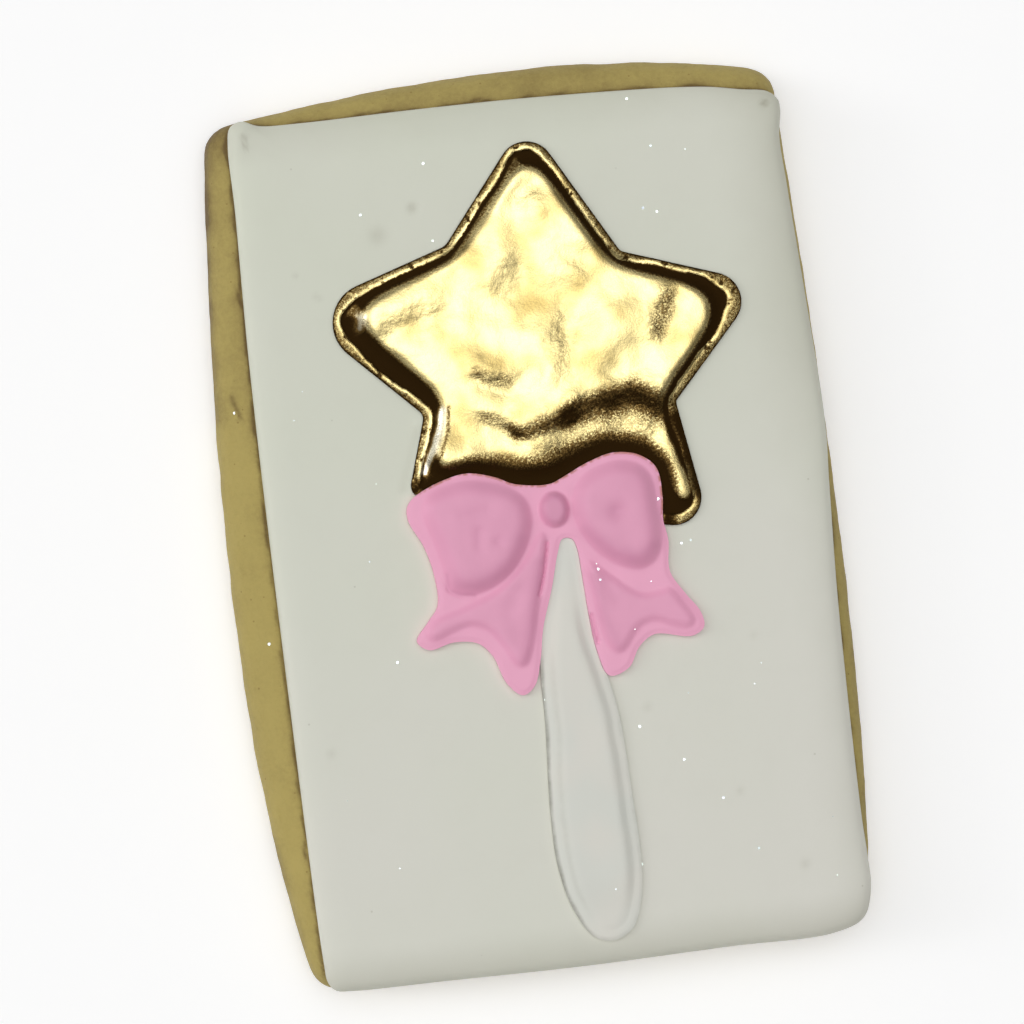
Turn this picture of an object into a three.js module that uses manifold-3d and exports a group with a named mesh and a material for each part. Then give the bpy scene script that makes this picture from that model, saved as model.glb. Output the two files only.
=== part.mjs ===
// Iced sugar cookie: a baked dough slab under a rolled icing sheet, with a wand on it made of a gold star,
// a pink bow and a white stick. Millimetres, +X to the right of the design, +Y towards the star, +Z up.
// The origin is on the underside, below the middle of the dough.

import * as THREE from 'three'
import { mergeVertices } from 'three/addons/utils/BufferGeometryUtils.js'
import Module from 'manifold-3d'

// ---- driving dimensions -------------------------------------------------------------------------------

const DOUGH_THICKNESS = 6.5
const ICING_THICKNESS = 2.2
const ICING_TOP = DOUGH_THICKNESS + ICING_THICKNESS
const FIT_GAP = 0.3 // between the bow and the pieces laid against it

// corners in order, anticlockwise from the bottom left, where the straight sides would meet
const DOUGH_CORNERS = [[-28.5, -46.25], [30.7, -46.25], [30.15, 44.8], [-30.0, 44.2]]
// how far each side swells outwards in the oven, and how far along it: bottom, right, top, left
const DOUGH_SWELL = [[0.55, 0.5], [1.6, 0.3], [2.4, 0.4], [3.0, 0.63]]
const DOUGH_CORNER = 3 // length of side that each rounded corner takes
// section of the dough's edge: [distance in from the widest line, height]
const DOUGH_EDGE = [[1.1, 0], [0.35, 0.6], [0, 2], [0, 3.4], [0.3, 4.7], [1.0, 5.7], [2.1, 6.3], [3.4, DOUGH_THICKNESS]]

// the sheet's uneven cut, anticlockwise from the bottom left corner
const ICING_CUT = [
  [-27.0, -43], [-26.8, -44.9], [-26.1, -45.8], [-24.4, -46.05], [-15, -46.2], [0, -46.4], [15, -46.2],
  [26, -46.1], [29.2, -44.9], [30.3, -42], [30.3, -38], [30.15, -34], [30.2, -12], [30.65, 0], [30.95, 7],
  [30.35, 20], [29.7, 32], [29.5, 36.8], [29.9, 39.4], [29.8, 40.5], [28.8, 41.5], [26, 42.0], [21.8, 42.7],
  [5, 43.35], [-8, 43.35], [-20, 43.15], [-24.2, 43.3], [-25.9, 43.95], [-27.1, 43.4], [-27.5, 41.6],
  [-27.5, 35], [-27.8, 19], [-27.6, -12],
]
const ICING_EDGE = [
  [0.25, DOUGH_THICKNESS], [0, 7.0], [0, 7.7], [0.25, 8.2], [0.8, 8.5], [1.8, 8.65], [3.0, ICING_TOP],
]

// star: corners clockwise from the top tip as [x, y, rounding radius], tip and valley by turns
const STAR_CORNERS = [
  [3.1, 41.0, 2.9], [11.4, 26.5, 0.9], [25.7, 21.7, 3.0], [15.4, 10.5, 0.6], [17.6, -2.9, 2.9],
  [1.4, 0.1, 1.8], [-13.1, 3.8, 1.3], [-10.6, 11.9, 0.9], [-22.4, 23.7, 4.1], [-6.5, 28.9, 1.8],
]
// section from the outline inwards, above the icing: thin rim, soft shoulder, low crown
const STAR_SECTION = [
  [0, 0], [0, 0.45], [0.15, 0.6], [0.75, 0.65], [1.2, 0.82], [1.6, 1.1], [2.0, 1.4], [2.5, 1.62],
  [3.3, 1.75], [5.0, 1.85], [6.9, 1.95], [8.8, 2.0],
]
const STAR_SWELL = 0.08 // how far each of the star's sides bows out
const STAR_CROWN = 1.7 // height above which the surface is hand-worked
const STAR_DENT = { depth: 0.12, across: 9.5, along: 7.5 }

// bow: outer edge of the flange, clockwise from the left loop's top corner
const BOW_TOP = [
  [-12.6, 3.6], [-9.3, 4.9], [-6.8, 5.3], [-4.1, 4.6], [-2.2, 3.8], [1.4, 3.4], [3.2, 3.95], [5.6, 5.05],
  [8.4, 5.75], [10.9, 5.2], [12.4, 3.75],
]
const BOW_RIGHT = [
  [12.9, 0.9], [12.7, -1.4], [13.0, -3.6], [12.8, -6.8], [14.1, -9.2], [15.5, -11.3], [15.7, -12.9],
  [14.4, -13.7], [10.5, -13.1], [8.8, -14.2], [7.5, -16.2], [5.4, -16.8],
]
const BOW_NOTCH = [
  [4.4, -14.1], [3.95, -10.0], [3.75, -6.3], [3.5, -3.3], [3.1, -2.4], [2.1, -2.3], [1.5, -3.6], [0.5, -7.1],
  [-0.9, -11.3], [-1.5, -14.4],
]
const BOW_LEFT = [
  [-2.4, -17.0], [-3.7, -17.8], [-5.2, -16.4], [-6.3, -13.5], [-7.7, -12.0], [-10.1, -11.6], [-12.8, -12.1],
  [-13.9, -11.1], [-12.6, -9.3], [-11.4, -7.7], [-11.4, -4.6], [-12.1, -1.6], [-13.4, 1.2], [-13.4, 2.6],
]
const BOW_FLANGE = [[0, 0], [0, 0.5], [0.2, 0.72], [0.5, 0.8]]
const PUFF_ROOT = 0.4 // raised forms start inside the flange
const LOOP_SECTION = [[0, PUFF_ROOT], [0, 0.85], [0.3, 1.05], [0.7, 1.35], [1.2, 1.6], [1.8, 1.75], [2.6, 1.8]]
const TAIL_SECTION = [[0, PUFF_ROOT], [0, 0.86], [0.25, 1.02], [0.5, 1.15], [0.7, 1.2]]
const KNOT_SECTION = [[0, PUFF_ROOT], [0, 1.0], [0.25, 1.3], [0.55, 1.52], [1.0, 1.62]]
const LEFT_LOOP = [
  [-10.0, 4.3], [-6.7, 4.8], [-3.4, 3.9], [-1.3, 2.5], [-0.7, 0.3], [-1.5, -2.6], [-3.2, -5.1], [-5.8, -6.7],
  [-8.2, -7.0], [-10.0, -6.0], [-10.6, -3.8], [-11.3, -0.8], [-12.1, 1.8], [-11.7, 3.4],
]
const RIGHT_LOOP = [
  [4.0, 3.2], [5.7, 4.5], [8.4, 5.2], [10.7, 4.7], [12.0, 3.3], [12.3, 0.5], [12.4, -3.5], [11.6, -5.6],
  [9.8, -6.4], [7.4, -5.6], [5.2, -3.8], [3.8, -1.5], [3.4, 0.8],
]
const LEFT_TAIL = [
  [0.5, -1.5], [0.4, -3.5], [-0.2, -6.0], [-1.1, -9.5], [-2.0, -13.0], [-3.1, -15.0], [-4.1, -14.8],
  [-5.3, -12.6], [-6.7, -10.8], [-8.3, -10.2], [-10.2, -10.7], [-12.1, -11.4], [-13.0, -10.9],
  [-12.9, -10.1], [-11.8, -9.0], [-8.6, -8.0], [-4.6, -6.2], [-1.6, -3.2], [-0.2, -1.2],
]
const RIGHT_TAIL = [
  [3.9, -3.6], [4.3, -7.0], [4.7, -10.5], [5.3, -13.4], [6.4, -14.7], [7.3, -14.5], [8.2, -13.3], [9.3, -12.1],
  [10.7, -11.8], [12.6, -12.6], [14.3, -12.9], [15.0, -12.2], [14.0, -10.2], [12.6, -8.3], [11.6, -8.6],
  [9.8, -8.7], [8.2, -7.8], [7.0, -6.6], [5.5, -5.4], [4.3, -4.2],
]
const KNOT = { x: 1.6, y: 0.8, across: 3.1, tall: 3.7 }

// stick: outer edge of its flange, clockwise from the top, where it is tucked between the bow's tails
const STICK_EDGE = [
  [1.8, -1.8], [3.3, -1.9], [4.0, -7.4], [4.2, -12.3], [5.2, -16.6], [6.0, -21.2], [6.4, -29.1], [6.6, -36],
  [6.2, -39.8], [5.0, -42.8], [2.9, -43.9], [0.9, -43.3], [-0.9, -40.4], [-2.0, -36], [-2.2, -30.5],
  [-1.7, -21], [-1.5, -14.5], [0.3, -6.6],
]
const STICK_SECTION = [
  [0, 0], [0, 0.3], [0.25, 0.46], [0.85, 0.5], [1.2, 0.66], [1.6, 0.9], [2.1, 1.06], [2.7, 1.12],
]

const STEP = { dough: 2.6, icing: 2.0, star: 1.05, bow: 0.85, puff: 0.7, stick: 1.4 } // spacing of points on each outline

// ---- outlines -----------------------------------------------------------------------------------------

const place = ([x, y]) => new THREE.Vector2(x, y)
const anticlockwise = (loop) => (THREE.ShapeUtils.area(loop) > 0 ? loop : loop.reverse())

// evenly spaced points round a closed path
function spaced(path, step) {
  const count = Math.round(path.getLength() / step)
  return anticlockwise(path.getSpacedPoints(count).slice(0, count).map((p) => new THREE.Vector2(p.x, p.y)))
}

function softLoop(points, step) {
  const stops = points.map(([x, y]) => new THREE.Vector3(x, y, 0))
  return spaced(new THREE.CatmullRomCurve3(stops, true, 'centripetal'), step)
}

// slightly swollen sides joined by an arc of the given radius at each corner
function corneredLoop(corners, swell, step) {
  const path = new THREE.Path()
  corners.forEach((corner, i) => {
    const tip = place(corner)
    const back = place(corners.at(i - 1)).sub(tip).normalize()
    const ahead = place(corners[(i + 1) % corners.length]).sub(tip).normalize()
    const half = Math.acos(back.dot(ahead)) / 2
    const radius = corner[2]
    const centre = back.clone().add(ahead).normalize().multiplyScalar(radius / Math.sin(half)).add(tip)
    const from = back.clone().multiplyScalar(radius / Math.tan(half)).add(tip).sub(centre)
    const to = ahead.clone().multiplyScalar(radius / Math.tan(half)).add(tip).sub(centre)
    const landing = centre.clone().add(from)
    if (i > 0) bulgeTo(path, path.currentPoint.clone(), landing, swell)
    path.absarc(centre.x, centre.y, radius, from.angle(), to.angle(), from.cross(to) < 0)
  })
  bulgeTo(path, path.currentPoint.clone(), path.getPoint(0), swell)
  return spaced(path, step)
}

// one side of a clockwise path, bowed to its left
function bulgeTo(path, from, to, swell) {
  const side = to.clone().sub(from)
  const outward = new THREE.Vector2(-side.y, side.x).normalize()
  const bulge = from.clone().addScaledVector(side, 0.5).addScaledVector(outward, 2 * swell)
  path.quadraticCurveTo(bulge.x, bulge.y, to.x, to.y)
}

// four sides that swell outwards as shallow curves, with soft corners
function swollenLoop(corners, swell, corner, step) {
  const sides = corners.map((from, i) => {
    const a = place(from)
    const b = place(corners[(i + 1) % corners.length])
    const along = b.clone().sub(a).normalize()
    const start = a.clone().addScaledVector(along, corner)
    const end = b.clone().addScaledVector(along, -corner)
    const outward = new THREE.Vector2(along.y, -along.x)
    const [height, where] = swell[i]
    const bulge = start.clone().lerp(end, where).addScaledVector(outward, 2 * height)
    return { start, end, bulge }
  })
  const path = new THREE.Path()
  path.moveTo(sides[0].start.x, sides[0].start.y)
  sides.forEach((side, i) => {
    const next = sides[(i + 1) % sides.length]
    const turn = meet(side.bulge, side.end, next.bulge, next.start)
    path.quadraticCurveTo(side.bulge.x, side.bulge.y, side.end.x, side.end.y)
    path.quadraticCurveTo(turn.x, turn.y, next.start.x, next.start.y)
  })
  return spaced(path, step)
}

// where the line from a through b meets the line from c through d
function meet(a, b, c, d) {
  const first = b.clone().sub(a)
  const second = d.clone().sub(c)
  const reach = c.clone().sub(a).cross(second) / first.cross(second)
  return a.clone().addScaledVector(first, reach)
}

function distanceToLoop(point, loop) {
  let nearest = Infinity
  loop.forEach((a, i) => {
    const side = loop[(i + 1) % loop.length].clone().sub(a)
    const share = THREE.MathUtils.clamp(point.clone().sub(a).dot(side) / side.lengthSq(), 0, 1)
    nearest = Math.min(nearest, a.clone().addScaledVector(side, share).distanceTo(point))
  })
  return nearest
}

// the loop moved inwards by a depth, or outwards by a negative one, without the points that would cross
function inset(loop, depth) {
  const near = 0.97 * Math.abs(depth)
  const closest = 0.4 * loop[0].distanceTo(loop[1])
  const kept = []
  loop.forEach((point, i) => {
    const along = loop[(i + 1) % loop.length].clone().sub(loop.at(i - 1)).normalize()
    const moved = new THREE.Vector2(point.x - along.y * depth, point.y + along.x * depth)
    if (distanceToLoop(moved, loop) < near) return
    if (kept.length && moved.distanceTo(kept.at(-1)) < closest) return
    kept.push(moved)
  })
  return kept
}

function isInside(point, loop) {
  let inside = false
  loop.forEach((a, i) => {
    const b = loop.at(i - 1)
    if (a.y > point.y === b.y > point.y) return
    if (point.x < a.x + ((point.y - a.y) * (b.x - a.x)) / (b.y - a.y)) inside = !inside
  })
  return inside
}

// the points of a loop that pass a test, in order, starting where a run of them starts
function run(loop, test) {
  const first = loop.findIndex((point, i) => test(point) && !test(loop.at(i - 1)))
  return [...loop.slice(first), ...loop.slice(0, first)].filter(test)
}

// a loop with the part inside the cutter taken away, closed along the cutter's edge
function cutLoop(loop, cutter) {
  const kept = run(loop, (point) => !isInside(point, cutter))
  const seam = run(cutter, (point) => isInside(point, loop)).reverse()
  return [...kept, ...seam]
}

// the loop drawn towards the middle of its box by the same distance on each side
function shrunk(loop, depth) {
  const box = new THREE.Box2().setFromPoints(loop)
  const middle = box.getCenter(new THREE.Vector2())
  const half = box.getSize(new THREE.Vector2()).multiplyScalar(0.5)
  const scale = new THREE.Vector2(1 - depth / half.x, 1 - depth / half.y)
  return loop.map((point) => point.clone().sub(middle).multiply(scale).add(middle))
}

// ---- solids -------------------------------------------------------------------------------------------

// A closed solid of stacked loops. Each section entry is [distance in, height], from the underside up.
// Between two loops of one length the wall is quads; otherwise the ring between them is filled.
function stack(loop, section, { base = 0, narrow = inset, worked = (point, z) => z } = {}) {
  const corners = []
  const add = (...points) => points.forEach(([point, z]) => corners.push(point.x, point.y, worked(point, z)))
  const fill = (outer, holes, heights, up) => {
    const points = [...outer, ...holes.flat()]
    THREE.ShapeUtils.triangulateShape([...outer], holes.map((hole) => [...hole])).forEach(([a, b, c]) => {
      const turn = points[b].clone().sub(points[a]).cross(points[c].clone().sub(points[a])) > 0
      const order = turn === up ? [a, b, c] : [a, c, b]
      add(...order.map((i) => [points[i], heights[i < outer.length ? 0 : 1]]))
    })
  }
  const layers = section.map(([depth, z]) => ({ loop: depth ? narrow(loop, depth) : loop, z: base + z }))
  fill(layers[0].loop, [], [layers[0].z], false)
  layers.slice(1).forEach((above, k) => {
    const below = layers[k]
    if (above.loop === below.loop || narrow === shrunk) {
      below.loop.forEach((point, i) => {
        const j = (i + 1) % loop.length
        add([point, below.z], [below.loop[j], below.z], [above.loop[j], above.z])
        add([point, below.z], [above.loop[j], above.z], [above.loop[i], above.z])
      })
    } else {
      fill(below.loop, [above.loop], [below.z, above.z], true)
    }
  })
  const top = layers.at(-1)
  fill(top.loop, [], [top.z], true)
  const geometry = new THREE.BufferGeometry()
  geometry.setAttribute('position', new THREE.Float32BufferAttribute(corners, 3))
  return mergeVertices(geometry, 1e-4)
}

const wasm = await Module()
wasm.setup()

function toSolid(geometry) {
  const vertProperties = new Float32Array(geometry.attributes.position.array)
  const triVerts = new Uint32Array(geometry.index.array)
  return new wasm.Manifold(new wasm.Mesh({ numProp: 3, vertProperties, triVerts }))
}

function toGeometry(solid) {
  const { vertProperties, triVerts } = solid.getMesh()
  const geometry = new THREE.BufferGeometry()
  geometry.setAttribute('position', new THREE.BufferAttribute(vertProperties, 3))
  geometry.setIndex([...triVerts])
  return geometry
}

// shallow hollows left by pressing and brushing the star
function starSurface(point, z) {
  const height = z - ICING_TOP
  if (height < STAR_CROWN) return z
  const across = Math.sin((2 * Math.PI * (point.x + 0.4 * point.y)) / STAR_DENT.across)
  const along = Math.cos((2 * Math.PI * (point.y - 0.3 * point.x)) / STAR_DENT.along)
  return z + STAR_DENT.depth * across * along
}

const bowLoop = softLoop([...BOW_TOP, ...BOW_RIGHT, ...BOW_NOTCH, ...BOW_LEFT], STEP.bow)
const bowClearance = inset(bowLoop, -FIT_GAP)

function doughSolid() {
  const loop = swollenLoop(DOUGH_CORNERS, DOUGH_SWELL, DOUGH_CORNER, STEP.dough)
  return stack(loop, DOUGH_EDGE, { narrow: shrunk })
}

function icingSolid() {
  return stack(softLoop(ICING_CUT, STEP.icing), ICING_EDGE, { narrow: shrunk })
}

function starSolid() {
  const loop = cutLoop(corneredLoop(STAR_CORNERS, STAR_SWELL, STEP.star), bowClearance)
  return stack(loop, STAR_SECTION, { base: ICING_TOP, worked: starSurface })
}

function bowSolid() {
  const knotPath = new THREE.Path().absellipse(KNOT.x, KNOT.y, KNOT.across / 2, KNOT.tall / 2, 0, 2 * Math.PI)
  const puffs = [
    stack(softLoop(LEFT_TAIL, STEP.puff), TAIL_SECTION, { base: ICING_TOP }),
    stack(softLoop(RIGHT_TAIL, STEP.puff), TAIL_SECTION, { base: ICING_TOP }),
    stack(softLoop(LEFT_LOOP, STEP.puff), LOOP_SECTION, { base: ICING_TOP }),
    stack(softLoop(RIGHT_LOOP, STEP.puff), LOOP_SECTION, { base: ICING_TOP }),
    stack(spaced(knotPath, STEP.puff / 2), KNOT_SECTION, { base: ICING_TOP }),
  ]
  const flange = toSolid(stack(bowLoop, BOW_FLANGE, { base: ICING_TOP }))
  return toGeometry(puffs.map(toSolid).reduce((whole, puff) => whole.add(puff), flange))
}

function stickSolid() {
  const loop = cutLoop(softLoop(STICK_EDGE, STEP.stick), bowClearance)
  return stack(loop, STICK_SECTION, { base: ICING_TOP })
}

// ---- the cookie ---------------------------------------------------------------------------------------

function piece(name, geometry, color, roughness, metalness) {
  const mesh = new THREE.Mesh(geometry, new THREE.MeshStandardMaterial({ color, roughness, metalness }))
  mesh.name = name
  return mesh
}

const cookie = new THREE.Group()
cookie.add(piece('cookie_base', doughSolid(), 0xab995b, 0.85, 0))
cookie.add(piece('icing_sheet', icingSolid(), 0xcdcfc1, 0.5, 0))
cookie.add(piece('star', starSolid(), 0xe8cf83, 0.3, 1))
cookie.add(piece('bow', bowSolid(), 0xdd9db7, 0.5, 0))
cookie.add(piece('wand_stick', stickSolid(), 0xd2d2c6, 0.5, 0))

export default cookie
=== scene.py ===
import math
import random

import bpy
import numpy as np
from mathutils import Matrix, Vector, noise


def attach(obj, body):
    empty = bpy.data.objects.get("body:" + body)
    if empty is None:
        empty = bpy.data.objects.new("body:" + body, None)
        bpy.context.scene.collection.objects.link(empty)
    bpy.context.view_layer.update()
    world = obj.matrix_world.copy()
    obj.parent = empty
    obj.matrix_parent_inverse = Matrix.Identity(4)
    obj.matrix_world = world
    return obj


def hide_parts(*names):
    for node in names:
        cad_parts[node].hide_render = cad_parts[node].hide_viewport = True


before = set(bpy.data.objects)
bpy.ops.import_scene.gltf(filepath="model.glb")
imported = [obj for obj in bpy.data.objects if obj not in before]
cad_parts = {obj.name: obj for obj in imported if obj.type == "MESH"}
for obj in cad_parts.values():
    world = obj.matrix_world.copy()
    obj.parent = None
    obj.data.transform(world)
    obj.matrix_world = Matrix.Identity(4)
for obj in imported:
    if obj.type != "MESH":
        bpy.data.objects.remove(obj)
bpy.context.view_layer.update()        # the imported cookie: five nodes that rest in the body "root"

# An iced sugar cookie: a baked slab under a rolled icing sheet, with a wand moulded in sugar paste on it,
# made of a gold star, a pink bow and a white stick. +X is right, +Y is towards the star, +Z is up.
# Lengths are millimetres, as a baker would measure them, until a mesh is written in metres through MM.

MM = 0.001

# ---- sizes ----------------------------------------------------------------------------------------------

DOUGH_THICKNESS = 6.5
ICING_THICKNESS = 2.2
ICING_TOP = DOUGH_THICKNESS + ICING_THICKNESS
PRESSED_IN = 0.15  # how deep the moulded pieces are bedded in the icing
HAIRLINE = 0.02  # between the star or stick and the bow that they meet
JOIN = 0.04  # how softly one raised form meets the next
SHARP_EDGE = 70  # the angle in degrees past which an edge is left sharp

# corners anticlockwise from the bottom left, and how far and how far along each side swells
DOUGH_CORNERS = [(-28.5, -46.25), (30.7, -46.25), (30.15, 44.8), (-30.0, 44.2)]
DOUGH_SWELL = [(0.55, 0.5), (1.6, 0.3), (2.4, 0.4), (3.0, 0.63)]
DOUGH_CORNER = 3
# sections are (distance in from the outline, height)
DOUGH_EDGE = [
    (4, 0), (1.1, 0), (0.35, 0.6), (0, 2), (0, 3.4), (0.3, 4.7), (1.0, 5.7), (2.1, 6.3), (3.4, 6.5),
    (6.5, 6.5),
]
ICING_CUT = [
    (-27.0, -43), (-26.8, -44.9), (-26.1, -45.8), (-24.4, -46.05), (-15, -46.2), (0, -46.4), (15, -46.2),
    (26, -46.1), (29.2, -44.9), (30.3, -42), (30.3, -38), (30.15, -34), (30.2, -12), (30.65, 0), (30.95, 7),
    (30.35, 20), (29.7, 32), (29.5, 36.8), (29.9, 39.4), (29.8, 40.5), (28.8, 41.5), (26, 42.0), (21.8, 42.7),
    (5, 43.35), (-8, 43.35), (-20, 43.15), (-24.2, 43.3), (-25.9, 43.95), (-27.1, 43.4), (-27.5, 41.6),
    (-27.5, 35), (-27.8, 19), (-27.6, -12),
]
ICING_EDGE = [
    (4, 6.45), (0.25, 6.45), (0, 7.0), (0, 7.7), (0.25, 8.2), (0.8, 8.5), (1.8, 8.65), (3.0, 8.7),
]

# star: corners clockwise from the top tip as (x, y, rounding radius), tip and valley by turns
STAR_CORNERS = [
    (3.1, 41.0, 2.9), (11.4, 26.5, 0.9), (25.7, 21.7, 3.0), (15.4, 10.5, 0.6), (17.6, -2.9, 2.9),
    (1.4, 0.1, 1.8), (-13.1, 3.8, 1.3), (-10.6, 11.9, 0.9), (-22.4, 23.7, 4.1), (-6.5, 28.9, 1.8),
]
# the star's thin rim, then its body: how far in its shoulder stands from the star's edge and from the bow,
# how round its corners are, how soft the shoulder is, and from where to where the body rises
RIM_CREST, RIM_FOOT = 0.78, 0.98
STAR_RIM = [(0, 0.3), (0.15, 0.52), (0.45, 0.63), (RIM_CREST, 0.66), (RIM_FOOT, 0.42), (1.4, 0.4), (12, 0.4)]
STAR_BODY = dict(
    inset=1.35, off_bow=0.85, roundness=1.5, tip_roundness=2.7, softness=0.52, foot=0.42, rise=1.25, top=2.06,
)

# bow: outer edge of its flange, then its raised forms, clockwise
BOW_TOP = [
    (-12.6, 3.6), (-9.3, 5.05), (-6.8, 5.45), (-4.1, 4.75), (-2.2, 3.85), (1.4, 3.45), (3.1, 4.1), (5.5, 5.2),
    (8.4, 5.95), (11.0, 5.4), (12.6, 3.9),
]
BOW_RIGHT = [
    (12.9, 0.9), (12.7, -1.4), (13.0, -3.6), (12.8, -6.8), (14.1, -9.2), (15.5, -11.3), (15.7, -12.9),
    (14.4, -13.7), (10.5, -13.1), (8.8, -14.2), (7.5, -16.2), (5.4, -16.8),
]
BOW_NOTCH = [
    (4.4, -14.1), (3.95, -10.0), (3.75, -6.3), (3.5, -3.3), (3.1, -2.4), (2.1, -2.3), (1.5, -3.6),
    (0.5, -7.1), (-0.9, -11.3), (-1.5, -14.4),
]
BOW_LEFT = [
    (-2.4, -17.0), (-3.7, -17.8), (-5.2, -16.4), (-6.3, -13.5), (-7.7, -12.0), (-10.1, -11.6), (-12.8, -12.1),
    (-13.9, -11.1), (-12.6, -9.3), (-11.4, -7.7), (-11.4, -4.6), (-12.1, -1.6), (-13.4, 1.2), (-13.4, 2.6),
]
BOW_FLANGE = [(0, 0.4), (0.2, 0.72), (0.5, 0.8), (4, 0.8)]
FORM_FOOT = 0.5  # from where the loops and the knot rise
LOOP = dict(inset=0.45, softness=0.7, rise=1.2)
TAIL = dict(inset=0.25, softness=0.36, rise=0.5)
LEFT_LOOP = [
    (-10.0, 4.3), (-6.7, 4.8), (-3.4, 3.9), (-1.3, 2.5), (-0.7, 0.3), (-1.5, -2.6), (-3.2, -5.1),
    (-5.8, -6.7), (-8.2, -7.0), (-10.0, -6.0), (-10.6, -3.8), (-11.3, -0.8), (-12.1, 1.8), (-11.7, 3.4),
]
RIGHT_LOOP = [
    (4.0, 3.2), (5.7, 4.5), (8.4, 5.2), (10.7, 4.7), (12.0, 3.3), (12.3, 0.5), (12.4, -3.5), (11.6, -5.6),
    (9.8, -6.4), (7.4, -5.6), (5.2, -3.8), (3.8, -1.5), (3.4, 0.8),
]
LEFT_TAIL = [
    (0.5, -1.5), (0.4, -3.5), (-0.2, -6.0), (-1.1, -9.5), (-2.0, -13.0), (-3.1, -15.0), (-4.1, -14.8),
    (-5.3, -12.6), (-6.7, -10.8), (-8.3, -10.2), (-10.2, -10.7), (-12.1, -11.4), (-13.0, -10.9),
    (-12.9, -10.1), (-11.8, -9.0), (-8.6, -8.0), (-4.6, -6.2), (-1.6, -3.2), (-0.2, -1.2),
]
RIGHT_TAIL = [
    (3.9, -3.6), (4.3, -7.0), (4.7, -10.5), (5.3, -13.4), (6.4, -14.7), (7.3, -14.5), (8.2, -13.3),
    (9.3, -12.1), (10.7, -11.8), (12.6, -12.6), (14.3, -12.9), (15.0, -12.2), (14.0, -10.2), (12.6, -8.3),
    (11.6, -8.6), (9.8, -8.7), (8.2, -7.8), (7.0, -6.6), (5.5, -5.4), (4.3, -4.2),
]
KNOT = dict(x=1.6, y=0.8, across=3.1, tall=3.7, inset=0.1, softness=0.33, rise=1.1)

# stick: outer edge of its flange, clockwise from the top
STICK_EDGE = [
    (1.8, -1.8), (3.3, -1.9), (4.0, -7.4), (4.2, -12.3), (5.2, -16.6), (6.0, -21.2), (6.4, -29.1), (6.6, -36),
    (6.2, -39.8), (5.0, -42.8), (2.9, -43.9), (0.9, -43.3), (-0.9, -40.4), (-2.0, -36), (-2.2, -30.5),
    (-1.7, -21), (-1.5, -14.5), (0.3, -6.6),
]
STICK_RIM = [(0, 0.2), (0.2, 0.42), (0.7, 0.5), (1.0, 0.45), (5, 0.4)]
STICK = dict(inset=1.2, softness=0.36, foot=0.45, rise=0.55)

OUTLINE_STEP = 0.2
CELL = {"star": 0.13, "bow": 0.13, "stick": 0.14}  # grid that each moulded piece is modelled on
DOUGH_STEP = 0.3
ICING_STEP = 0.4


# ---- outlines and distances -----------------------------------------------------------------------------

def unit(direction):
    return direction / np.linalg.norm(direction)


def evenly(path, steps):
    """Points at even steps along an open path, with both its ends."""
    along = np.concatenate([[0], np.cumsum(np.linalg.norm(np.diff(path, axis=0), axis=1))])
    stops = np.linspace(0, along[-1], steps + 1)
    return np.column_stack([np.interp(stops, along, path[:, axis]) for axis in (0, 1)])


def length_of(path):
    return np.linalg.norm(np.diff(path, axis=0), axis=1).sum()


def spaced(path, step):
    """Evenly spaced points round a closed path."""
    closed = np.vstack([path, path[:1]])
    return evenly(closed, round(length_of(closed) / step))[:-1]


def four_sided(outline, step):
    """An outline from its lower left corner, each side with as many points as the opposite one."""
    wide, tall = (round(size / step) for size in np.ptp(outline, axis=0))
    corners = [int((outline @ way).argmax()) for way in ((-1, -1), (1, -1), (1, 1), (-1, 1))]
    sides = []
    for first, last, steps in zip(corners, corners[1:] + corners[:1], (wide, tall, wide, tall)):
        side = np.roll(outline, -first, axis=0)[: (last - first) % len(outline) + 1]
        sides.append(evenly(side, steps)[:-1])
    return np.vstack(sides), wide


def soft_outline(points, step=OUTLINE_STEP):
    """A closed curve through the points, the pace on each stretch set by the root of its length."""
    here = np.array(points, float)
    before, ahead, beyond = (np.roll(here, -shift, axis=0) for shift in (-1, 1, 2))
    t0, t1, t2 = (
        np.linalg.norm(b - a, axis=1, keepdims=True) ** 0.5
        for a, b in ((before, here), (here, ahead), (ahead, beyond))
    )
    leaving = t1 * ((here - before) / t0 - (ahead - before) / (t0 + t1) + (ahead - here) / t1)
    arriving = t1 * ((ahead - here) / t1 - (beyond - here) / (t1 + t2) + (beyond - ahead) / t2)
    u = np.linspace(0, 1, 24, endpoint=False)[:, None, None]
    curve = (
        (2 * u**3 - 3 * u**2 + 1) * here + (u**3 - 2 * u**2 + u) * leaving
        + (3 * u**2 - 2 * u**3) * ahead + (u**3 - u**2) * arriving
    )
    return spaced(curve.transpose(1, 0, 2).reshape(-1, 2), step)


def cornered_outline(corners, step=OUTLINE_STEP):
    """Straight sides joined by an arc of the given radius at each corner."""
    path = []
    for i, (x, y, radius) in enumerate(corners):
        tip = np.array((x, y))
        back = unit(np.array(corners[i - 1][:2]) - tip)
        onward = unit(np.array(corners[(i + 1) % len(corners)][:2]) - tip)
        half = math.acos(back @ onward) / 2
        centre = tip + unit(back + onward) * radius / math.sin(half)
        spokes = [tip + way * radius / math.tan(half) - centre for way in (back, onward)]
        start, end = (math.atan2(spoke[1], spoke[0]) for spoke in spokes)
        turn = (end - start + math.pi) % (2 * math.pi) - math.pi
        for angle in np.linspace(start, start + turn, 24):
            path.append(centre + radius * np.array((math.cos(angle), math.sin(angle))))
    return spaced(np.array(path), step)


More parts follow.
